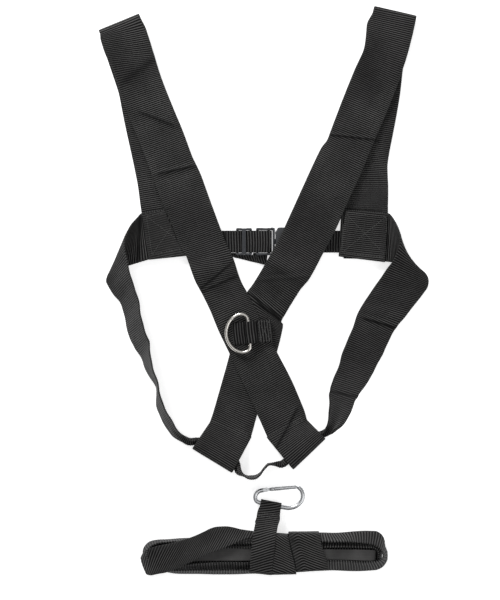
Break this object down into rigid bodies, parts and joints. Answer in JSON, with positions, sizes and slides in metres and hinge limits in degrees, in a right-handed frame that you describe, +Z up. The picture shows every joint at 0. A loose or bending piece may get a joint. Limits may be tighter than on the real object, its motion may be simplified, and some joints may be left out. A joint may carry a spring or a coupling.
{
  "type": "webbing breastplate harness with pull strap",
  "caption": "Webbing shoulder harness laid flat, with crossed shoulder straps, side strap, chest buckle, D-ring and a folded pull strap with a snap hook.",
  "frame": {"origin": "middle of the whole part's outline, on the surface it lies on", "axes": "+X towards the harness's right side as seen from above, +Y towards the shoulder folds, +Z up"},
  "size_m": [0.3748, 0.6474, 0.0496],
  "materials": {
    "webbing_50mm": "black 50 mm polyester webbing with cross ribs and a soft sheen",
    "webbing_25mm": "black 25 mm polyester webbing with fine cross ribs",
    "pull_webbing": "black 25 mm pull strap webbing, folded",
    "stitching": "black bonded polyester thread",
    "buckle_plastic": "black moulded acetal with a satin skin",
    "nickel_wire": "nickel-plated welded wire, lightly worn",
    "zinc_steel": "bright zinc-plated steel wire"
  },
  "bodies": {
    "harness": {"shoulder_strap_left": "webbing_50mm", "shoulder_strap_right": "webbing_50mm", "side_strap_left": "webbing_50mm", "side_strap_bottom": "webbing_50mm", "side_strap_right": "webbing_50mm", "chest_strap_left": "webbing_25mm", "chest_strap_right": "webbing_25mm", "buckle_female": "buckle_plastic", "d_ring_tab": "webbing_25mm", "d_ring_base": "webbing_25mm"},
    "d_ring": {"d_ring": "nickel_wire"},
    "buckle_plug": {"buckle_male": "buckle_plastic"},
    "prong_upper": {"buckle_prong_upper": "buckle_plastic"},
    "prong_lower": {"buckle_prong_lower": "buckle_plastic"},
    "adjuster": {"strap_adjuster": "buckle_plastic"},
    "pull_strap": {"pull_strap_hank": "pull_webbing", "pull_strap_wraps": "pull_webbing", "pull_strap_tail": "pull_webbing"},
    "snap_hook": {"carabiner_body": "zinc_steel", "carabiner_pin": "zinc_steel"},
    "hook_gate": {"carabiner_gate": "zinc_steel"}
  },
  "joints": [
    {"name": "d_ring_flip", "type": "hinge", "parent": "harness", "child": "d_ring", "pos_m": [-0.01629, -0.0481, 0.0107], "axis": [-0.0943, 0.9955, 0], "range_deg": [0, 170]},
    {"name": "buckle_release", "type": "slide", "parent": "harness", "child": "buckle_plug", "axis": [-1, 0, 0], "range_m": [0, 0.024], "deforming": ["chest_strap_left"]},
    {"name": "prong_upper_squeeze", "type": "hinge", "parent": "buckle_plug", "child": "prong_upper", "pos_m": [0.01366, 0.06505, 0.0046], "axis": [0, 0, -1], "range_deg": [0, 7], "stiffness_Nm_per_rad": 0.02},
    {"name": "prong_lower_squeeze", "type": "hinge", "parent": "buckle_plug", "child": "prong_lower", "pos_m": [0.01366, 0.04565, 0.0046], "axis": [0, 0, 1], "range_deg": [0, 7], "stiffness_Nm_per_rad": 0.02},
    {"name": "adjuster_slide", "type": "slide", "parent": "buckle_plug", "child": "adjuster", "axis": [-1, 0, 0], "range_m": [0, 0.012], "deforming": ["chest_strap_left"]},
    {"name": "pull_strap_lift", "type": "slide", "parent": "harness", "child": "pull_strap", "axis": [0, 0, 1], "range_m": [0, 0.15]},
    {"name": "hook_swing", "type": "hinge", "parent": "pull_strap", "child": "snap_hook", "pos_m": [0.00836, -0.2441, 0.0049], "axis": [0.9811, -0.1933, 0], "range_deg": [0, 90]},
    {"name": "gate_open", "type": "hinge", "parent": "snap_hook", "child": "hook_gate", "pos_m": [0.00336, -0.2268, 0.0049], "axis": [0, 0, -1], "range_deg": [0, 20], "stiffness_Nm_per_rad": 0.03}
  ],
  "couplings": [
    {"joint": "prong_lower_squeeze", "follows": "prong_upper_squeeze", "ratio": 1}
  ]
}
